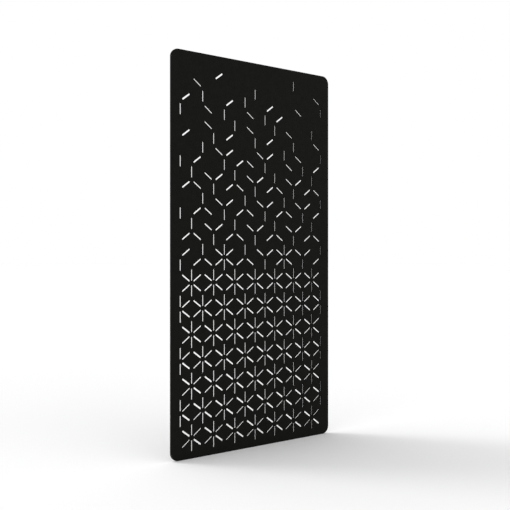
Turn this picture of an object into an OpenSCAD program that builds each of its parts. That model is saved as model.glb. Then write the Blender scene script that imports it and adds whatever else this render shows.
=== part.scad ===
// Hanging acoustic screen: one rigid felt board, cut through with straight slots that
// meet in six-armed stars, and two threaded anchors glued flush into its top edge.
// The origin is the middle of the top edge, the board hangs down from it along -Z,
// X runs across the screen, and its front faces -Y.

/* [Board] */
// Width of the felt board
board_w = 1200; // [900:10:1300]
// Height of the felt board
board_h = 2400; // [1800:10:2700]
// Thickness of the felt board
board_t = 12; // [12:0.5:24]
// Radius of the board's four corners
corner_r = 50; // [10:5:80]
// Uncut felt that stays between a slot and the side or bottom edge
edge_land = 30; // [25:1:40]

/* [Star pattern] */
// Distance between neighbouring columns of stars
column_step = 76.5; // [72:0.5:80]
// Distance between neighbouring rows of stars
row_step = 152.2; // [146:0.1:156]
// Height of the lowest row's star centres above the bottom edge
first_row = 121; // [115:1:150]
// Number of rows, from the bottom, where every star has all its arms
full_rows = 7; // [1:1:8]

/* [Slots] */
// Width of every slot, which has round ends
slot_w = 10.5; // [8:0.5:14]
// Length of an upright slot, end to end
upright_l = 69; // [50:1:78]
// Length of a slanted slot, end to end
slanted_l = 67; // [50:1:76]
// From a star's centre to the near end of an upright slot
upright_reach = 12; // [10:0.5:16]
// From a star's centre to the near end of a slanted slot
slanted_reach = 15; // [12:0.5:18]
// Angle of a slanted slot from level, in degrees
slant = 37.4; // [33:0.1:42]

/* [Anchor sleeves] */
// Distance between the two hanging points
hang_spacing = 800; // [500:10:840]
// Depth of a sleeve below the top edge
sleeve_l = 40; // [30:1:50]
// Diameter of a sleeve between its ribs
sleeve_d = 7; // [6.6:0.1:7.4]
// Diameter of a sleeve over its ribs
rib_d = 8; // [7.6:0.1:8.6]
// Distance from one rib to the next
rib_pitch = 4; // [3:0.5:6]
// Diameter of the collar that lines the mouth of the hole
collar_d = 9.6; // [9.2:0.1:10]
// Thickness of the collar
collar_t = 1.2; // [0.8:0.1:2]
// Felt left between the deepest part of a sleeve and any slot
anchor_land = 15; // [10:1:25]
// Length of the tapered nose that leads a sleeve into its hole
nose_l = 3; // [2:0.5:6]
// Diameter of the nose's tip
nose_d = 5; // [4:0.1:6]
// Depth of a sleeve's bore below the insert
bore_spare = 1; // [0.5:0.5:5]
// Gap for glue round a sleeve
glue_gap = 0.15; // [0.05:0.05:0.25]

/* [Threaded inserts] */
// Length of an insert
insert_l = 12; // [8:0.5:20]
// Diameter of an insert's body
insert_d = 5; // [4.6:0.1:5.4]
// Diameter of the tapping bore, 3.3 for an M4 thread
tapping_d = 3.3; // [2.5:0.1:3.8]
// Diameter of the insert's head
head_d = 6; // [5.8:0.1:6.2]
// Thickness of the insert's head
head_t = 0.8; // [0.5:0.1:1]
// Depth of the grooves round an insert
groove_depth = 0.3; // [0.1:0.05:0.35]
// Width of each groove
groove_w = 1; // [0.5:0.1:2]
// Gap round an insert in its sleeve
insert_gap = 0.05; // [0.02:0.01:0.1]

/* [Hidden] */

felt_black = [0.10, 0.10, 0.10];
sleeve_black = [0.06, 0.06, 0.06];
brass_yellow = [0.72, 0.56, 0.28];

// The arms of a star are named by letters: U up, R up and right, r down and right,
// D down, l down and left, L up and left.
whole_star = "URrDlL";
fork_up = "RDL";
fork_down = "Url";

// Above the full rows the stars come apart, row by row, into forks and single dashes.
loose_rows = [
    ["RD", fork_down, whole_star, fork_down, fork_up, whole_star, fork_up, "Ul"],
    [fork_down, fork_up, fork_down, fork_up, fork_down, fork_up, fork_down],
    ["D", fork_down, fork_up, fork_down, fork_up, fork_down, fork_up, "Ul"],
    [fork_down, fork_up, fork_down, fork_up, fork_down, fork_up, fork_down],
    ["D", "Ul", fork_up, "rl", fork_up, "Ur", "DL", "Ul"],
    ["l", "DL", "Ul", "DL", "Ul", "DL", "Ur"],
    ["RD", "Ur", "RD", "Ur", "RD", "l", "L", "U"],
    ["r", "R", "", "D", "", "U", "r"],
];
star_rows = full_rows + len(loose_rows);

// A wide row has a star in every other column from the first, a narrow row from the second.
// The loose rows start on a wide row, so the row below them is a narrow one.
wide_stars = len(loose_rows[0]);
last_column = 2 * (wide_stars - 1);
function is_wide(row) = abs(row - full_rows) % 2 == 0;
function stars_in(row) = is_wide(row) ? wide_stars : wide_stars - 1;
function column_of(row, i) = 2 * i + (is_wide(row) ? 0 : 1);
function star_at(row, i) = [
    (column_of(row, i) - last_column / 2) * column_step,
    -board_h + first_row + row * row_step,
];
function arms_of(row, i) = row < full_rows ? whole_star : loose_rows[row - full_rows][i];

function arm_angle(arm) =
    arm == "U" ? 90 : arm == "D" ? -90 :
    arm == "R" ? slant : arm == "r" ? -slant :
    arm == "L" ? 180 - slant : 180 + slant;
function is_upright(arm) = arm == "U" || arm == "D";
function reach_of(arm) = is_upright(arm) ? upright_reach : slanted_reach;
function length_of(arm) = is_upright(arm) ? upright_l : slanted_l;

// Centre of the round that closes a slot's far end
function far_end(star, arm) =
    star + (reach_of(arm) + length_of(arm) - slot_w / 2)
        * [cos(arm_angle(arm)), sin(arm_angle(arm))];

// No slot comes near the edges, or as high as the sleeves reach down.
top_land = sleeve_l + anchor_land;
function clears_edges(end) =
    abs(end.x) <= board_w / 2 - edge_land - slot_w / 2
    && end.y >= -board_h + edge_land + slot_w / 2
    && end.y <= -top_land - slot_w / 2;

round_fn = 48;
cut_past = 1;
sleeve_hole_d = rib_d + 2 * glue_gap;
collar_hole_d = collar_d + 2 * glue_gap;
insert_hole_d = insert_d + 2 * insert_gap;
head_hole_d = head_d + 2 * insert_gap;
sleeve_bore_l = insert_l + bore_spare;
rib_count = floor((sleeve_l - collar_t - nose_l) / rib_pitch);
rib_rise = rib_pitch * 0.7;
groove_tops = [-insert_l * 0.3, -insert_l * 0.65];

// A slot's outline, with its near end's tip on the origin and its length along X
module slot_outline(length) {
    translate([slot_w / 2, -slot_w / 2]) square([length - slot_w, slot_w]);
    for (x = [slot_w / 2, length - slot_w / 2])
        translate([x, 0]) circle(d = slot_w, $fn = round_fn);
}

// All the arms of one star that clear the board's edges
module star_slots(star, arms) {
    for (arm = arms)
        if (clears_edges(far_end(star, arm)))
            translate(star) rotate(arm_angle(arm)) translate([reach_of(arm), 0])
                slot_outline(length_of(arm));
}

module all_slots() {
    for (row = [0 : star_rows - 1])
        for (i = [0 : stars_in(row) - 1])
            star_slots(star_at(row, i), arms_of(row, i));
}

// The board's outline, hanging down from the middle of its top edge
module board_outline() {
    translate([-board_w / 2 + corner_r, -board_h]) square([board_w - 2 * corner_r, board_h]);
    translate([-board_w / 2, -board_h + corner_r]) square([board_w, board_h - 2 * corner_r]);
    for (x = [-1, 1], y = [-board_h + corner_r, -corner_r])
        translate([x * (board_w / 2 - corner_r), y]) circle(r = corner_r, $fn = 2 * round_fn);
}

// The hole that a sleeve is glued into, with a wider step for its collar
module sleeve_hole() {
    translate([0, 0, -sleeve_l - glue_gap])
        cylinder(h = sleeve_l + glue_gap + cut_past, d = sleeve_hole_d, $fn = round_fn);
    translate([0, 0, -collar_t])
        cylinder(h = collar_t + cut_past, d = collar_hole_d, $fn = round_fn);
}

module felt_board() {
    color(felt_black) difference() {
        rotate([90, 0, 0]) translate([0, 0, -board_t / 2])
            linear_extrude(board_t) difference() {
                board_outline();
                all_slots();
            }
        for (side = [-1, 1])
            translate([side * hang_spacing / 2, 0, 0]) sleeve_hole();
    }
}

// Half of the sleeve's outside: collar, barbed ribs that grip the felt, and a tapered nose
function rib_points(n) =
    let (top = -collar_t - n * rib_pitch)
    [[sleeve_d / 2, top - rib_pitch + rib_rise], [rib_d / 2, top - rib_pitch + rib_rise],
     [sleeve_d / 2, top - rib_pitch]];

module sleeve_profile() {
    polygon(concat(
        [[0, 0], [collar_d / 2, 0], [collar_d / 2, -collar_t], [sleeve_d / 2, -collar_t]],
        [for (n = [0 : rib_count - 1]) each rib_points(n)],
        [[sleeve_d / 2, -sleeve_l + nose_l], [nose_d / 2, -sleeve_l], [0, -sleeve_l]]
    ));
}

module anchor_sleeve(side) {
    color(sleeve_black) translate([side * hang_spacing / 2, 0, 0]) difference() {
        rotate_extrude($fn = round_fn) sleeve_profile();
        translate([0, 0, -sleeve_bore_l])
            cylinder(h = sleeve_bore_l + cut_past, d = insert_hole_d, $fn = round_fn);
        translate([0, 0, -head_t])
            cylinder(h = head_t + cut_past, d = head_hole_d, $fn = round_fn);
    }
}

module threaded_insert(side) {
    color(brass_yellow) translate([side * hang_spacing / 2, 0, 0])
        rotate_extrude($fn = round_fn) difference() {
            union() {
                translate([tapping_d / 2, -insert_l]) square([(insert_d - tapping_d) / 2, insert_l]);
                translate([tapping_d / 2, -head_t]) square([(head_d - tapping_d) / 2, head_t]);
            }
            for (top = groove_tops)
                translate([insert_d / 2 - groove_depth, top - groove_w])
                    square([groove_depth + cut_past, groove_w]);
        }
}

felt_board();
anchor_sleeve(-1);  // anchor_sleeve_left
anchor_sleeve(1);  // anchor_sleeve_right
threaded_insert(-1);  // threaded_insert_left
threaded_insert(1);  // threaded_insert_right
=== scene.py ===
import math

import bmesh
import bpy
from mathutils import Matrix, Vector


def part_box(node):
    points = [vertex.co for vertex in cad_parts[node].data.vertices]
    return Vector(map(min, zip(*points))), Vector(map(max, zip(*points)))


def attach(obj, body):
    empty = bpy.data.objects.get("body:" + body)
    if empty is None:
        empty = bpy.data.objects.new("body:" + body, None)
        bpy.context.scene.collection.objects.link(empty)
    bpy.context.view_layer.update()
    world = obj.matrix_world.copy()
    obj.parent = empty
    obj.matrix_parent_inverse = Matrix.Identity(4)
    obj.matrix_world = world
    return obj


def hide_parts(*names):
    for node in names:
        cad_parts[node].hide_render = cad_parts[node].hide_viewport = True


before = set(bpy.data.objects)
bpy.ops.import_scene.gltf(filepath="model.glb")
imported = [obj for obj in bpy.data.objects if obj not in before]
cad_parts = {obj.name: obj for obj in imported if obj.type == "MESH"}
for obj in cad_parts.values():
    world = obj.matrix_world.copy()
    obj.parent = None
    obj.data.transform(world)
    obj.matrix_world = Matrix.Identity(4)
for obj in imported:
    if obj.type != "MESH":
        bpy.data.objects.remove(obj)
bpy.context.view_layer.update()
print("frame loaded:", ", ".join(sorted(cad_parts)))

mm = 0.001
feltLow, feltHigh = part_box("felt_board")
sides = ("left", "right")

# the view: the camera stands level, to the left of the board's front
camera = {
    "yaw": 35.2,            # degrees the view turns to the right of square on
    "distance": 4.4387,     # along the view, to the middle of the board's front
    "sideways": 0.0044,     # how far that middle lies right of the view's middle
    "height": 1.1925,       # of the lens above the board's bottom edge
    "lens": 50.0,
    "sensor": 36.0,
    "shiftUp": 0.0022,      # a share of the frame's width
    "farClip": 200.0,       # takes in the whole floor
}


def addCamera():
    yaw = math.radians(camera["yaw"])
    ahead = Vector((math.sin(yaw), math.cos(yaw), 0))
    right = Vector((math.cos(yaw), -math.sin(yaw), 0))
    middle = Vector(((feltLow.x + feltHigh.x) / 2, feltLow.y, 0))
    place = middle - ahead * camera["distance"] - right * camera["sideways"]
    place.z = feltLow.z + camera["height"]
    data = bpy.data.cameras.new("photoCamera")
    data.lens = camera["lens"]
    data.sensor_width = camera["sensor"]
    data.shift_y = camera["shiftUp"]
    data.clip_end = camera["farClip"]
    rig = bpy.data.objects.new("photoCamera", data)
    rig.location = place
    rig.rotation_euler = (math.pi / 2, 0, -yaw)
    bpy.context.scene.collection.objects.link(rig)
    bpy.context.scene.camera = rig
    return ahead, right


viewAhead, viewRight = addCamera()
print("camera set")


# small helpers
def addNode(tree, kind, inputs=None, **settings):
    node = tree.nodes.new(kind)
    for name, value in settings.items():
        setattr(node, name, value)
    for socket, value in (inputs or {}).items():
        if isinstance(value, bpy.types.NodeSocket):
            tree.links.new(value, node.inputs[socket])
        else:
            node.inputs[socket].default_value = value
    return node


def calculate(tree, operation, *values):
    node = addNode(tree, "ShaderNodeMath", dict(enumerate(values)), operation=operation)
    return node.outputs[0]


def addObject(name, mesh):
    piece = bpy.data.objects.new(name, mesh)
    bpy.context.scene.collection.objects.link(piece)
    return piece


def pointOutwards(mesh):
    bm = bmesh.new()
    bm.from_mesh(mesh)
    bmesh.ops.recalc_face_normals(bm, faces=bm.faces)
    bm.to_mesh(mesh)
    bm.free()


def bakeModifiers(piece):
    graph = bpy.context.evaluated_depsgraph_get()
    mesh = bpy.data.meshes.new_from_object(piece.evaluated_get(graph))
    mesh.name = piece.name
    old = piece.data
    piece.modifiers.clear()
    piece.data = mesh
    if old.users == 0:
        bpy.data.meshes.remove(old)


# materials: all their patterns are in metres, on Object coordinates
noiseSpan = (0.3, 0.7)      # nearly all of a noise texture's values lie between these

feltLook = {
    "colour": (0.0072, 0.0073, 0.0061),
    "paleFibre": (0.0195, 0.0195, 0.0175),
    "specular": 0.06,
    "sheen": 0.02,
    "sheenRoughness": 0.6,
    "fibreWidth": 0.22 * mm,
    "fibreDepth": 0.44 * mm,            # into the board
    "fibreLength": 7 * mm,
    "fibreTurns": (12, 49, 97, 141),    # degrees, one layer of fibres each
    "ridge": (0.52, 0.72),              # noise values at a fibre's foot and at its crest
    "fleckFrom": 0.55,                  # height at which a fibre begins to look paler
    "fleckShare": 0.35,                 # of the pale colour on a crest
    "bend": 1.4 * mm,                   # how far a fibre wanders off its line
    "bendEvery": 9 * mm,
    "cloudSize": 38 * mm,
    "cloudShare": 0.10,                 # how much the colour drifts across the board
    "layerPitch": 0.45 * mm,            # of the pressed layers seen in a cut
    "layerLength": 21 * mm,
    "layerHeight": 1.5,                 # against a fibre's height
    "relief": 0.16 * mm,
    "bump": 0.6,
}


def newMaterial(name, finish):
    material = bpy.data.materials.new(name)
    material.use_nodes = True
    tree = material.node_tree
    shader = tree.nodes["Principled BSDF"]
    for socket, value in finish.items():
        shader.inputs[socket].default_value = value
    place = addNode(tree, "ShaderNodeTexCoord").outputs["Object"]
    return material, tree, shader, place


def addNoise(tree, vector, size, detail=2.0):
    return addNode(tree, "ShaderNodeTexNoise",
                   {"Vector": vector, "Scale": 1 / size, "Detail": detail})


def stretched(tree, vector, turn, sizes):
    # turned about the board's thickness, then scaled to one unit per size along each axis
    turned = addNode(tree, "ShaderNodeMapping",
                     {"Vector": vector, "Rotation": (0, math.radians(turn), 0)})
    return addNode(tree, "ShaderNodeMapping",
                   {"Vector": turned.outputs[0],
                    "Scale": tuple(1 / size for size in sizes)}).outputs[0]


def calculateVector(tree, operation, vector, inputs):
    return addNode(tree, "ShaderNodeVectorMath", {0: vector, **inputs},
                   operation=operation).outputs[0]


def remap(tree, value, low, high, toLow=0.0, toHigh=1.0):
    return addNode(tree, "ShaderNodeMapRange",
                   {"Value": value, "From Min": low, "From Max": high,
                    "To Min": toLow, "To Max": toHigh}).outputs[0]


def mixColours(tree, factor, first, second):
    # in a Mix node for colours, socket 0 is the factor, and 6 and 7 are the two colours
    node = addNode(tree, "ShaderNodeMix", {0: factor, 6: (*first, 1), 7: (*second, 1)},
                   data_type="RGBA")
    return node.outputs[2]


def addBump(tree, shader, height, look):
    bump = addNode(tree, "ShaderNodeBump",
                   {"Height": height, "Distance": look["relief"], "Strength": look["bump"]})
    tree.links.new(bump.outputs[0], shader.inputs["Normal"])


def feltMaterial(name, isCut):
    look = feltLook
    material, tree, shader, place = newMaterial(name, {
        "Roughness": 1.0, "Specular IOR Level": look["specular"],
        "Sheen Weight": look["sheen"], "Sheen Roughness": look["sheenRoughness"]})
    wander = addNoise(tree, place, look["bendEvery"], detail=1.0).outputs["Color"]
    centred = calculateVector(tree, "SUBTRACT", wander, {1: (0.5, 0.5, 0.5)})
    shift = calculateVector(tree, "SCALE", centred, {"Scale": look["bend"]})
    bent = calculateVector(tree, "ADD", place, {1: shift})

    depth = look["layerPitch"] if isCut else look["fibreDepth"]
    fibres = None
    for turn in look["fibreTurns"]:
        sizes = (look["fibreLength"], depth, look["fibreWidth"])
        layer = addNoise(tree, stretched(tree, bent, turn, sizes), 1.0, detail=1.0).outputs[0]
        ridge = remap(tree, layer, *look["ridge"])
        fibres = ridge if fibres is None else calculate(tree, "MAXIMUM", fibres, ridge)
    height = fibres
    if isCut:
        sizes = (look["layerLength"], look["layerPitch"], look["layerLength"])
        layers = addNoise(tree, stretched(tree, bent, 0, sizes), 1.0).outputs[0]
        layers = remap(tree, layers, *noiseSpan, 0, look["layerHeight"])
        height = calculate(tree, "ADD", fibres, layers)

    clouds = addNoise(tree, place, look["cloudSize"], detail=3.0).outputs[0]
    drift = remap(tree, clouds, *noiseSpan, 1 - look["cloudShare"], 1 + look["cloudShare"])
    fleck = calculate(tree, "MULTIPLY", remap(tree, fibres, look["fleckFrom"], 1.0),
                      look["fleckShare"])
    colour = mixColours(tree, fleck, look["colour"], look["paleFibre"])
    tinted = calculateVector(tree, "SCALE", colour, {"Scale": drift})
    tree.links.new(tinted, shader.inputs["Base Color"])
    addBump(tree, shader, height, look)
    return material


nylonLook = {
    "colour": (0.015, 0.015, 0.015),
    "worn": (0.028, 0.028, 0.028),
    "wornSpan": (0.45, 0.75),           # noise values where wear starts and is full
    "wornSize": 4.2 * mm,
    "grain": 0.35 * mm,
    "roughness": (0.48, 0.62),
    "specular": 0.4,
    "relief": 0.03 * mm,
    "bump": 0.4,
}


def nylonMaterial():
    look = nylonLook
    material, tree, shader, place = newMaterial(
        "mouldedNylon", {"Specular IOR Level": look["specular"]})
    grain = addNoise(tree, place, look["grain"], detail=3.0).outputs[0]
    patches = addNoise(tree, place, look["wornSize"]).outputs[0]
    colour = mixColours(tree, remap(tree, patches, *look["wornSpan"]),
                        look["colour"], look["worn"])
    roughness = remap(tree, grain, *noiseSpan, *look["roughness"])
    tree.links.new(colour, shader.inputs["Base Color"])
    tree.links.new(roughness, shader.inputs["Roughness"])
    addBump(tree, shader, grain, look)
    return material


brassLook = {
    "colour": (0.72, 0.53, 0.24),
    "tarnish": (0.46, 0.31, 0.13),
    "tarnishSize": 2.5 * mm,
    "tarnishSpan": (0.5, 0.8),          # noise values where the colour turns
    "dullSpan": (0.3, 0.8),             # and where the shine fades
    "roughness": (0.24, 0.42),
    "turningSize": 2.4 * mm,            # height in which a little over three marks lie
    "turningWobble": 0.6,
    "relief": 0.012 * mm,
    "bump": 0.5,
}


def brassMaterial():
    look = brassLook
    material, tree, shader, place = newMaterial("turnedBrass", {"Metallic": 1.0})
    patches = addNoise(tree, place, look["tarnishSize"], detail=4.0).outputs[0]
    colour = mixColours(tree, remap(tree, patches, *look["tarnishSpan"]),
                        look["colour"], look["tarnish"])
    roughness = remap(tree, patches, *look["dullSpan"], *look["roughness"])
    tree.links.new(colour, shader.inputs["Base Color"])
    tree.links.new(roughness, shader.inputs["Roughness"])
    turning = addNode(tree, "ShaderNodeTexWave",
                      {"Vector": place, "Scale": 1 / look["turningSize"],
                       "Distortion": look["turningWobble"], "Detail": 1.0},
                      wave_type="BANDS", bands_direction="Z")
    addBump(tree, shader, turning.outputs[1], look)
    return material


feltFace = feltMaterial("pressedFeltFace", False)
feltCut = feltMaterial("pressedFeltCut", True)
nylon = nylonMaterial()
brass = brassMaterial()
print("materials made")

# the felt board: one sheet cut through with slots
board = {
    "cornerRadius": 50 * mm,
    "cornerSteps": 12,
    "rimRounding": 0.4 * mm,    # how soft the sheet's own outer edge is
    "rimSteps": 3,
    "topLand": 55 * mm,         # uncut felt round the anchors
    "edgeLand": 30 * mm,        # uncut felt at the sides and the bottom
    "wallWeld": 0.05 * mm,      # points of a wall that lie closer than this are joined
    "sheetWeld": 0.02 * mm,     # and so are those of the walls and the faces
    "sharpAngle": 50,
}

slots = {
    "columnStep": 76.5 * mm,
    "rowStep": 152.2 * mm,
    "firstRow": 121 * mm,       # height of the lowest stars above the bottom edge
    "width": 10.5 * mm,
    "uprightLength": 69 * mm,
    "slantedLength": 67 * mm,
    "uprightReach": 12 * mm,    # from a star's centre to the near end of a slot
    "slantedReach": 15 * mm,
    "slant": 37.4,              # degrees from level
    "endSteps": 4,              # sides of each quarter circle in a slot's round end
    "endSpare": 0.01 * mm,      # keeps the two fillets of an end from overlapping
    "rounding": 0.1 * mm,       # of the cut edges, which the knife leaves almost sharp
    "roundingSteps": 1,
}

# U up, R up and right, r down and right, D down, l down and left, L up and left
wholeStar, forkUp, forkDown = "URrDlL", "RDL", "Url"
fullRows = 7
looseRows = [
    ["RD", forkDown, wholeStar, forkDown, forkUp, wholeStar, forkUp, "Ul"],
    [forkDown, forkUp] * 3 + [forkDown],
    ["D"] + [forkDown, forkUp] * 3 + ["Ul"],
    [forkDown, forkUp] * 3 + [forkDown],
    ["D", "Ul", forkUp, "rl", forkUp, "Ur", "DL", "Ul"],
    ["l", "DL", "Ul", "DL", "Ul", "DL", "Ur"],
    ["RD", "Ur", "RD", "Ur", "RD", "l", "L", "U"],
    ["r", "R", "", "D", "", "U", "r"],
]


def armAngle(arm):
    slant = slots["slant"]
    return {"U": 90, "D": -90, "R": slant, "r": -slant,
            "L": 180 - slant, "l": 180 + slant}[arm]


def clearsEdges(end):
    # end is the centre of the round that closes a slot's far end
    inset = slots["width"] / 2
    side = (feltHigh.x - feltLow.x) / 2 - board["edgeLand"] - inset
    bottom = feltLow.z - feltHigh.z + board["edgeLand"] + inset
    return abs(end.x) <= side and bottom <= end.y <= -board["topLand"] - inset


def slotPlaces():
    # middle (x across, y up from the top edge), angle and kind of every slot
    wideStars = len(looseRows[0])
    places = []
    for row in range(fullRows + len(looseRows)):
        isWide = (row - fullRows) % 2 == 0
        for i in range(wideStars if isWide else wideStars - 1):
            column = 2 * i + (0 if isWide else 1) - (wideStars - 1)
            star = Vector((column * slots["columnStep"],
                           feltLow.z - feltHigh.z + slots["firstRow"]
                           + row * slots["rowStep"]))
            arms = wholeStar if row < fullRows else looseRows[row - fullRows][i]
            for arm in arms:
                isUpright = arm in "UD"
                kind = "upright" if isUpright else "slanted"
                reach, length = slots[kind + "Reach"], slots[kind + "Length"]
                angle = math.radians(armAngle(arm))
                along = Vector((math.cos(angle), math.sin(angle)))
                if clearsEdges(star + along * (reach + length - slots["width"] / 2)):
                    places.append((star + along * (reach + length / 2), angle, isUpright))
    return places


def addInputs(tree, kind, names):
    for name in names:
        tree.interface.new_socket(name, in_out="INPUT", socket_type="NodeSocket" + kind)


def wallRingGroup():
    # the wall round one cut or round the sheet: a filleted rectangle swept with a rounded edge
    tree = bpy.data.node_groups.new("wallRing", "GeometryNodeTree")
    addInputs(tree, "Float", ("Length", "Width", "Corner Radius", "Thickness", "Rounding",
                              "Side"))
    addInputs(tree, "Int", ("Corner Steps", "Rounding Steps"))
    tree.interface.new_socket("Mesh", in_out="OUTPUT", socket_type="NodeSocketGeometry")
    given = addNode(tree, "NodeGroupInput").outputs

    path = addNode(tree, "GeometryNodeCurvePrimitiveQuadrilateral",
                   {"Width": given["Length"], "Height": given["Width"]})
    path = addNode(tree, "GeometryNodeFilletCurve",
                   {"Curve": path.outputs[0], "Count": given["Corner Steps"],
                    "Radius": given["Corner Radius"]}, mode="POLY")
    path = addNode(tree, "GeometryNodeSetCurveNormal", {"Curve": path.outputs[0]}, mode="Z_UP")

    # the profile is the right half of a rounded rectangle, moved until its side is on the path
    halfWidth = calculate(tree, "MULTIPLY", given["Rounding"], 2.0)
    fullWidth = calculate(tree, "MULTIPLY", halfWidth, 2.0)
    edge = addNode(tree, "GeometryNodeCurvePrimitiveQuadrilateral",
                   {"Width": fullWidth, "Height": given["Thickness"]})
    edge = addNode(tree, "GeometryNodeFilletCurve",
                   {"Curve": edge.outputs[0], "Count": given["Rounding Steps"],
                    "Radius": given["Rounding"]}, mode="POLY")
    edge = addNode(tree, "GeometryNodeCurveToMesh", {"Curve": edge.outputs[0]})
    position = addNode(tree, "ShaderNodeSeparateXYZ",
                       {0: addNode(tree, "GeometryNodeInputPosition").outputs[0]})
    isLeftHalf = addNode(tree, "FunctionNodeCompare", {0: position.outputs[0], 1: 0.0},
                         data_type="FLOAT", operation="LESS_THAN")
    edge = addNode(tree, "GeometryNodeDeleteGeometry",
                   {"Geometry": edge.outputs[0], "Selection": isLeftHalf.outputs[0]},
                   domain="POINT")
    edge = addNode(tree, "GeometryNodeMeshToCurve", {"Mesh": edge.outputs[0]})
    back = addNode(tree, "ShaderNodeCombineXYZ",
                   {0: calculate(tree, "MULTIPLY", halfWidth, -1.0)})
    edge = addNode(tree, "GeometryNodeTransform",
                   {"Geometry": edge.outputs[0], "Translation": back.outputs[0]})
    mirror = addNode(tree, "ShaderNodeCombineXYZ", {0: given["Side"], 1: 1.0, 2: 1.0})
    edge = addNode(tree, "GeometryNodeTransform",
                   {"Geometry": edge.outputs[0], "Scale": mirror.outputs[0]})

    wall = addNode(tree, "GeometryNodeCurveToMesh",
                   {"Curve": path.outputs[0], "Profile Curve": edge.outputs[0]})
    wall = addNode(tree, "GeometryNodeMergeByDistance",
                   {"Geometry": wall.outputs[0], "Distance": board["wallWeld"]})
    addNode(tree, "NodeGroupOutput", {0: wall.outputs[0]})
    return tree


def cutBoardTree():
    tree = bpy.data.node_groups.new("cutFeltBoard", "GeometryNodeTree")
    addInputs(tree, "Geometry", ("Slot Middles",))
    addInputs(tree, "Float", ("Board Width", "Board Height", "Board Thickness",
                              "Corner Radius", "Rim Rounding", "Slot Width",
                              "Upright Length", "Slanted Length", "Slot Rounding"))
    addInputs(tree, "Int", ("Corner Steps", "Rim Steps", "Slot End Steps",
                            "Slot Rounding Steps"))
    addInputs(tree, "Material", ("Face Material", "Cut Material"))
    tree.interface.new_socket("Board", in_out="OUTPUT", socket_type="NodeSocketGeometry")
    given = addNode(tree, "NodeGroupInput").outputs
    ringGroup = wallRingGroup()

    def ring(length, width, radius, steps, rounding, roundingSteps, side):
        return addNode(tree, "GeometryNodeGroup", node_tree=ringGroup, inputs={
            "Length": length, "Width": width, "Corner Radius": radius,
            "Corner Steps": steps, "Thickness": given["Board Thickness"],
            "Rounding": rounding, "Rounding Steps": roundingSteps,
            "Side": side}).outputs[0]

    rim = ring(given["Board Width"], given["Board Height"], given["Corner Radius"],
               given["Corner Steps"], given["Rim Rounding"], given["Rim Steps"], 1.0)
    halfHeight = calculate(tree, "MULTIPLY", given["Board Height"], -0.5)
    down = addNode(tree, "ShaderNodeCombineXYZ", {1: halfHeight})
    rim = addNode(tree, "GeometryNodeTransform",
                  {"Geometry": rim, "Translation": down.outputs[0]})

    endRadius = calculate(tree, "MULTIPLY_ADD", given["Slot Width"], 0.5, -slots["endSpare"])
    angle = addNode(tree, "GeometryNodeInputNamedAttribute", {"Name": "slotAngle"},
                    data_type="FLOAT").outputs[0]
    turn = addNode(tree, "FunctionNodeEulerToRotation",
                   {0: addNode(tree, "ShaderNodeCombineXYZ", {2: angle}).outputs[0]})
    isUpright = addNode(tree, "GeometryNodeInputNamedAttribute", {"Name": "isUpright"},
                        data_type="BOOLEAN").outputs[0]
    isSlanted = addNode(tree, "FunctionNodeBooleanMath", {0: isUpright}, operation="NOT")
    walls = addNode(tree, "GeometryNodeJoinGeometry")
    tree.links.new(rim.outputs[0], walls.inputs[0])
    for length, chosen in ((given["Upright Length"], isUpright),
                           (given["Slanted Length"], isSlanted.outputs[0])):
        cut = ring(length, given["Slot Width"], endRadius, given["Slot End Steps"],
                   given["Slot Rounding"], given["Slot Rounding Steps"], -1.0)
        cuts = addNode(tree, "GeometryNodeInstanceOnPoints",
                       {"Points": given["Slot Middles"], "Selection": chosen,
                        "Instance": cut, "Rotation": turn.outputs[0]})
        tree.links.new(cuts.outputs[0], walls.inputs[0])
    walls = addNode(tree, "GeometryNodeRealizeInstances", {0: walls.outputs[0]})

    # the front edges of all the walls bound one flat sheet with holes
    position = addNode(tree, "ShaderNodeSeparateXYZ",
                       {0: addNode(tree, "GeometryNodeInputPosition").outputs[0]})
    isFront = addNode(tree, "FunctionNodeCompare", {0: position.outputs[2], 1: 0.0},
                      data_type="FLOAT", operation="GREATER_THAN")
    neighbours = addNode(tree, "GeometryNodeInputMeshEdgeNeighbors").outputs[0]
    isOpen = addNode(tree, "FunctionNodeCompare", {2: neighbours, 3: 1},
                     data_type="INT", operation="EQUAL")
    bounds = addNode(tree, "FunctionNodeBooleanMath",
                     {0: isFront.outputs[0], 1: isOpen.outputs[0]}, operation="AND")
    loops = addNode(tree, "GeometryNodeMeshToCurve",
                    {"Mesh": walls.outputs[0], "Selection": bounds.outputs[0]})
    sheet = addNode(tree, "GeometryNodeFillCurve", {"Curve": loops.outputs[0]},
                    mode="TRIANGLES")
    both = addNode(tree, "GeometryNodeJoinGeometry")
    for side, isBack in ((0.5, False), (-0.5, True)):
        depth = calculate(tree, "MULTIPLY", given["Board Thickness"], side)
        offset = addNode(tree, "ShaderNodeCombineXYZ", {2: depth})
        face = addNode(tree, "GeometryNodeTransform",
                       {"Geometry": sheet.outputs[0], "Translation": offset.outputs[0]})
        if isBack:
            face = addNode(tree, "GeometryNodeFlipFaces", {0: face.outputs[0]})
        tree.links.new(face.outputs[0], both.inputs[0])
    faces = addNode(tree, "GeometryNodeSetMaterial",
                    {"Geometry": both.outputs[0], "Material": given["Face Material"]})
    walls = addNode(tree, "GeometryNodeSetMaterial",
                    {"Geometry": walls.outputs[0], "Material": given["Cut Material"]})
    whole = addNode(tree, "GeometryNodeJoinGeometry")
    tree.links.new(faces.outputs[0], whole.inputs[0])
    tree.links.new(walls.outputs[0], whole.inputs[0])
    whole = addNode(tree, "GeometryNodeMergeByDistance",
                    {"Geometry": whole.outputs[0], "Distance": board["sheetWeld"]})
    whole = addNode(tree, "GeometryNodeSetShadeSmooth", {"Geometry": whole.outputs[0]})
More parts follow.
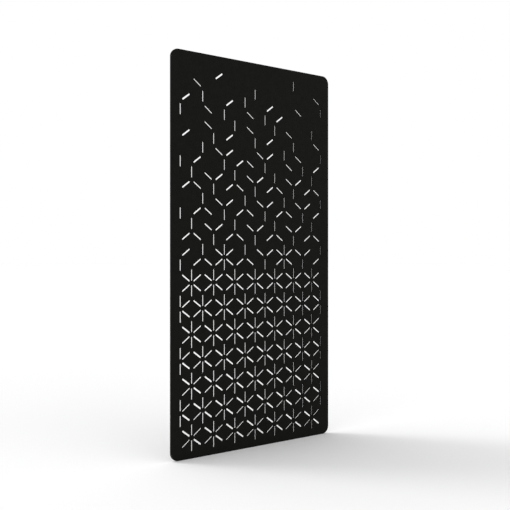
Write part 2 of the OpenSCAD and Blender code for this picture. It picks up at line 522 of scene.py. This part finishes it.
    # stood up: the sheet was laid out flat, with its front upwards
    upright = addNode(tree, "FunctionNodeEulerToRotation", {0: (math.pi / 2, 0, 0)})
    whole = addNode(tree, "GeometryNodeTransform",
                    {"Geometry": whole.outputs[0], "Rotation": upright.outputs[0]})
    addNode(tree, "NodeGroupOutput", {0: whole.outputs[0]})
    return tree


def setInputs(modifier, values):
    sockets = {item.name: item.identifier for item in modifier.node_group.interface.items_tree
               if item.in_out == "INPUT"}
    for name, value in values.items():
        modifier[sockets[name]] = value


def dropEmptyMaterials(mesh):
    # the node tree leaves an empty material slot behind
    used = [material for material in mesh.materials if material]
    kept = [used.index(mesh.materials[face.material_index]) for face in mesh.polygons]
    mesh.materials.clear()
    for material in used:
        mesh.materials.append(material)
    mesh.polygons.foreach_set("material_index", kept)


def makeBoard():
    middles, angles, uprights = zip(*slotPlaces())
    points = bpy.data.meshes.new("slotMiddles")
    points.from_pydata([(middle.x, middle.y, 0) for middle in middles], [], [])
    for name, kind, values in (("slotAngle", "FLOAT", angles),
                               ("isUpright", "BOOLEAN", uprights)):
        points.attributes.new(name, kind, "POINT").data.foreach_set("value", values)
    piece = addObject("feltBoard", points)
    cutter = piece.modifiers.new("cutFeltBoard", "NODES")
    cutter.node_group = cutBoardTree()
    setInputs(cutter, {
        "Board Width": feltHigh.x - feltLow.x, "Board Height": feltHigh.z - feltLow.z,
        "Board Thickness": feltHigh.y - feltLow.y, "Corner Radius": board["cornerRadius"],
        "Rim Rounding": board["rimRounding"], "Slot Width": slots["width"],
        "Upright Length": slots["uprightLength"], "Slanted Length": slots["slantedLength"],
        "Slot Rounding": slots["rounding"], "Corner Steps": board["cornerSteps"],
        "Rim Steps": board["rimSteps"], "Slot End Steps": slots["endSteps"],
        "Slot Rounding Steps": slots["roundingSteps"], "Face Material": feltFace,
        "Cut Material": feltCut})
    bakeModifiers(piece)
    pointOutwards(piece.data)
    dropEmptyMaterials(piece.data)
    print("felt board cut:", len(middles), "slots,", len(piece.data.polygons), "faces")
    return piece


# the moulded sleeves, and the holes that they are glued into
anchor = {
    "steps": 48,
    "holeGap": 0.15 * mm,       # for the glue round a sleeve
    "cutterPast": 1 * mm,       # how far a hole's cutter stands out of the board
    "sleeveLength": 40 * mm,
    "sleeveRadius": 3.5 * mm,
    "ribRadius": 4.0 * mm,
    "ribPitch": 4 * mm,
    "ribRise": 2.8 * mm,        # of a barb's sloping side
    "collarRadius": 4.8 * mm,
    "collarThickness": 1.2 * mm,
    "noseLength": 3 * mm,
    "noseRadius": 2.5 * mm,
    "boreRadius": 2.55 * mm,
    "boreDepth": 13 * mm,
    "headHoleRadius": 3.05 * mm,
    "headHoleDepth": 0.8 * mm,
    "rounding": 0.22 * mm,
    "sharpAngle": 50,
}

# the turned inserts, with an M4 thread inside
insert = {
    "steps": 48,
    "length": 12 * mm,
    "radius": 2.5 * mm,
    "headRadius": 3.0 * mm,
    "headThickness": 0.8 * mm,
    "grooveDepth": 0.3 * mm,
    "grooveWidth": 1 * mm,
    "grooveTops": (3.6 * mm, 7.8 * mm),
    "knurlDepth": 0.12 * mm,
    "rounding": 0.12 * mm,
    "minorRadius": 1.65 * mm,
    "majorRadius": 2.0 * mm,
    "pitch": 0.7 * mm,
    "rootFlat": 0.125,          # share of the pitch
    "flanks": 0.625,            # the two together, as a share of the pitch too
    "rowsPerTurn": 7,
    "leadIn": 0.5 * mm,         # depth of the chamfer at each end of the thread
    "sharpAngle": 40,
}

cornerShare = 0.45              # of a side, the most that a softened corner takes
softenedSteps = 3
poleRadius = 1e-9               # a ring that is smaller than this is one point


def softened(profile, radius):
    # every corner of a (radius, height) outline but its two ends becomes a short curve
    points = [Vector(p) for p in profile]
    out = [points[0]]
    for before, corner, after in zip(points, points[1:], points[2:]):
        reach = min(radius, (before - corner).length * cornerShare,
                    (after - corner).length * cornerShare)
        start = corner + (before - corner).normalized() * reach
        end = corner + (after - corner).normalized() * reach
        for i in range(softenedSteps + 1):
            t = i / softenedSteps
            out.append(start.lerp(corner, t).lerp(corner.lerp(end, t), t))
    return out + [points[-1]]


def ringSolid(name, rings, isLoop):
    # skins a stack of rings; a ring of one point is a pole
    bm = bmesh.new()
    made = [[bm.verts.new(p) for p in ring] for ring in rings]
    pairs = list(zip(made, made[1:])) + ([(made[-1], made[0])] if isLoop else [])
    for low, high in pairs:
        count = max(len(low), len(high))
        for i in range(count):
            j = (i + 1) % count
            corners = [low[i % len(low)], low[j % len(low)],
                       high[j % len(high)], high[i % len(high)]]
            bm.faces.new(list(dict.fromkeys(corners)))
    bmesh.ops.recalc_face_normals(bm, faces=bm.faces)
    mesh = bpy.data.meshes.new(name)
    bm.to_mesh(mesh)
    bm.free()
    return mesh


def ringOf(centre, radii, height):
    # one point for each radius, evenly round an upright axis at x = centre
    turns = [2 * math.pi * i / len(radii) for i in range(len(radii))]
    return [Vector((centre + radius * math.cos(turn), radius * math.sin(turn), height))
            for radius, turn in zip(radii, turns)]


def lathe(name, profile, centre, steps):
    rings = [ringOf(centre, [radius] * (1 if radius < poleRadius else steps), height)
             for radius, height in profile]
    return ringSolid(name, rings, False)


def finishMesh(piece, sharpAngle):
    # smooth shading that keeps flat faces flat, with true creases left sharp
    bm = bmesh.new()
    bm.from_mesh(piece.data)
    for face in bm.faces:
        face.smooth = True
    for edge in bm.edges:
        edge.smooth = edge.calc_face_angle(0) < math.radians(sharpAngle)
    bm.to_mesh(piece.data)
    bm.free()
    weighted = piece.modifiers.new("weightedNormal", "WEIGHTED_NORMAL")
    weighted.mode = "FACE_AREA"
    weighted.keep_sharp = True
    bakeModifiers(piece)


def middleOf(node):
    low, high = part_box(node)
    return (low.x + high.x) / 2


def cutSleeveHoles(piece):
    gap, ledge = anchor["holeGap"], -anchor["collarThickness"]
    wide, narrow = anchor["collarRadius"] + gap, anchor["ribRadius"] + gap
    top, bottom = anchor["cutterPast"], -anchor["sleeveLength"] - gap
    profile = [(0, top), (wide, top), (wide, ledge), (narrow, ledge), (narrow, bottom),
               (0, bottom)]
    cutters = []
    for side in sides:
        mesh = lathe("sleeveHole", profile, middleOf("anchor_sleeve_" + side),
                     anchor["steps"])
        for material in piece.data.materials:
            mesh.materials.append(material)
        cut = piece.data.materials.find(feltCut.name)
        mesh.polygons.foreach_set("material_index", [cut] * len(mesh.polygons))
        cutter = addObject("sleeveHole", mesh)
        drill = piece.modifiers.new("sleeveHole", "BOOLEAN")
        drill.operation = "DIFFERENCE"
        drill.solver = "EXACT"
        drill.object = cutter
        cutters.append(cutter)
    bakeModifiers(piece)
    for cutter in cutters:
        mesh = cutter.data
        bpy.data.objects.remove(cutter)
        bpy.data.meshes.remove(mesh)


def makeSleeve(side):
    core, rib, collar = anchor["sleeveRadius"], anchor["ribRadius"], anchor["collarRadius"]
    bore, headHole = anchor["boreRadius"], anchor["headHoleRadius"]
    boreEnd, headHoleEnd = -anchor["boreDepth"], -anchor["headHoleDepth"]
    collarEnd, end = -anchor["collarThickness"], -anchor["sleeveLength"]
    noseStart = anchor["noseLength"] + end
    # from the bottom of the bore, out over the collar, down the ribs, to the nose
    profile = [(0, boreEnd), (bore, boreEnd), (bore, headHoleEnd), (headHole, headHoleEnd),
               (headHole, 0), (collar, 0), (collar, collarEnd), (core, collarEnd)]
    for n in range(int((collarEnd - noseStart) / anchor["ribPitch"])):
        ribFoot = collarEnd - (n + 1) * anchor["ribPitch"]
        ribTop = ribFoot + anchor["ribRise"]
        profile += [(core, ribTop), (rib, ribTop), (core, ribFoot)]
    profile += [(core, noseStart), (anchor["noseRadius"], end), (0, end)]
    name = "anchorSleeve" + side.capitalize()
    mesh = lathe(name, softened(profile, anchor["rounding"]),
                 middleOf("anchor_sleeve_" + side), anchor["steps"])
    mesh.materials.append(nylon)
    piece = addObject(name, mesh)
    finishMesh(piece, anchor["sharpAngle"])
    return piece


def threadRadius(height, turn):
    # flat crests towards the axis, sloping flanks, flat roots, and chamfered ends
    minor, major = insert["minorRadius"], insert["majorRadius"]
    phase = (height / insert["pitch"] - turn) % 1
    depth = (abs(phase - 0.5) * 2 - insert["rootFlat"]) / insert["flanks"]
    radius = major + (minor - major) * min(max(depth, 0), 1)
    fromEnd = min(-height, insert["length"] + height)
    chamfer = minor + max(insert["leadIn"] - fromEnd, 0)
    return max(radius, chamfer)


def makeInsert(side):
    centre, steps = middleOf("threaded_insert_" + side), insert["steps"]
    body, head, length = insert["radius"], insert["headRadius"], insert["length"]
    headEnd, groove = -insert["headThickness"], body - insert["grooveDepth"]
    mouth = insert["minorRadius"] + insert["leadIn"]
    profile = [(mouth, 0), (head, 0), (head, headEnd), (body, headEnd)]
    for top in insert["grooveTops"]:
        bottom = top + insert["grooveWidth"]
        profile += [(body, -top), (groove, -top), (groove, -bottom), (body, -bottom)]
    profile += [(body, -length), (mouth, -length)]

    # the outside, knurled below the head wherever it isn't grooved
    knurl, rounding = insert["knurlDepth"], insert["rounding"]
    rings = []
    for radius, height in softened(profile, rounding):
        dip = knurl if radius > body - knurl and height < headEnd - rounding else 0
        radii = [radius - dip * (i % 2) for i in range(steps)]
        rings.append(ringOf(centre, radii, height))
    # the thread, from the bottom up
    rows = round(length / insert["pitch"] * insert["rowsPerTurn"])
    for row in range(1, rows):
        height = length * row / rows - length
        radii = [threadRadius(height, i / steps) for i in range(steps)]
        rings.append(ringOf(centre, radii, height))

    name = "threadedInsert" + side.capitalize()
    mesh = ringSolid(name, rings, True)
    mesh.materials.append(brass)
    piece = addObject(name, mesh)
    finishMesh(piece, insert["sharpAngle"])
    return piece


feltBoard = makeBoard()
cutSleeveHoles(feltBoard)
finishMesh(feltBoard, board["sharpAngle"])
print("sleeve holes cut:", len(feltBoard.data.polygons), "faces")

sleeves = [makeSleeve(side) for side in sides]
inserts = [makeInsert(side) for side in sides]
print("anchors turned")

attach(feltBoard, "root")
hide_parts("felt_board")
for side, sleeve, threaded in zip(sides, sleeves, inserts):
    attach(sleeve, "root")
    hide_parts("anchor_sleeve_" + side)
    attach(threaded, "root")
    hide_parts("threaded_insert_" + side)

# the studio: a pale floor, a white background and soft light, most of it from the left
studio = {
    "floorDrop": 0.5 * mm,      # the hanging board's bottom edge just clears the floor
    "floorRadius": 90.0,
    "floorSides": 64,
    "floorColour": (0.945, 0.945, 0.945),
    "floorLift": 0.005,         # brings the unshadowed floor up to white where it is seen
    "worldLevel": 0.54,
    "backgroundLevel": 1.0,     # plain white
}

# angles are in degrees, and the azimuth goes round to the right from the view's
# direction, so a lamp at 270 is on the left
lamps = {
    "keyLamp": {"azimuth": 283, "elevation": 34, "width": 20, "strength": 0.87},
    "sideLamp": {"azimuth": 262, "elevation": 46, "width": 80, "strength": 1.08},
    "topLamp": {"azimuth": 75, "elevation": 85, "width": 36, "strength": 0.235},
    "fillLamp": {"azimuth": 124, "elevation": 28, "width": 56, "strength": 0.34},
}


def addLamp(name, look):
    azimuth, elevation = math.radians(look["azimuth"]), math.radians(look["elevation"])
    level = viewAhead * math.cos(azimuth) + viewRight * math.sin(azimuth)
    towards = level * math.cos(elevation) + Vector((0, 0, math.sin(elevation)))
    data = bpy.data.lights.new(name, "SUN")
    data.energy = look["strength"]
    data.angle = math.radians(look["width"])
    lamp = bpy.data.objects.new(name, data)
    lamp.rotation_euler = towards.to_track_quat("Z", "Y").to_euler()
    bpy.context.scene.collection.objects.link(lamp)


def backgroundRays(tree):
    # 1 where a ray shows the background: to the camera, or in metal and glass
    rays = addNode(tree, "ShaderNodeLightPath").outputs
    seen = calculate(tree, "MAXIMUM", rays["Is Camera Ray"], rays["Is Glossy Ray"])
    return calculate(tree, "MAXIMUM", seen, rays["Is Transmission Ray"])


def makeWorld():
    world = bpy.data.worlds.new("studioWorld")
    bpy.context.scene.world = world
    world.use_nodes = True
    tree = world.node_tree
    tree.nodes.clear()
    light, white = [addNode(tree, "ShaderNodeBackground",
                            {"Color": (1, 1, 1, 1), "Strength": studio[level]}).outputs[0]
                    for level in ("worldLevel", "backgroundLevel")]
    mix = addNode(tree, "ShaderNodeMixShader", {0: backgroundRays(tree), 1: light, 2: white})
    addNode(tree, "ShaderNodeOutputWorld", {0: mix.outputs[0]})


def makeFloor():
    material = bpy.data.materials.new("paleFloor")
    material.use_nodes = True
    tree = material.node_tree
    tree.nodes.clear()
    matt = addNode(tree, "ShaderNodeBsdfDiffuse", {"Color": (*studio["floorColour"], 1)})
    lift = calculate(tree, "MULTIPLY", backgroundRays(tree), studio["floorLift"])
    glow = addNode(tree, "ShaderNodeEmission", {"Color": (1, 1, 1, 1), "Strength": lift})
    both = addNode(tree, "ShaderNodeAddShader", {0: matt.outputs[0], 1: glow.outputs[0]})
    addNode(tree, "ShaderNodeOutputMaterial", {0: both.outputs[0]})
    bm = bmesh.new()
    bmesh.ops.create_circle(bm, cap_ends=True, segments=studio["floorSides"],
                            radius=studio["floorRadius"])
    mesh = bpy.data.meshes.new("studioFloor")
    bm.to_mesh(mesh)
    bm.free()
    mesh.materials.append(material)
    floor = addObject("studioFloor", mesh)
    floor.location.z = feltLow.z - studio["floorDrop"]


for name, look in lamps.items():
    addLamp(name, look)
makeWorld()
makeFloor()
bpy.context.scene.view_settings.view_transform = "Standard"
print("studio lit")
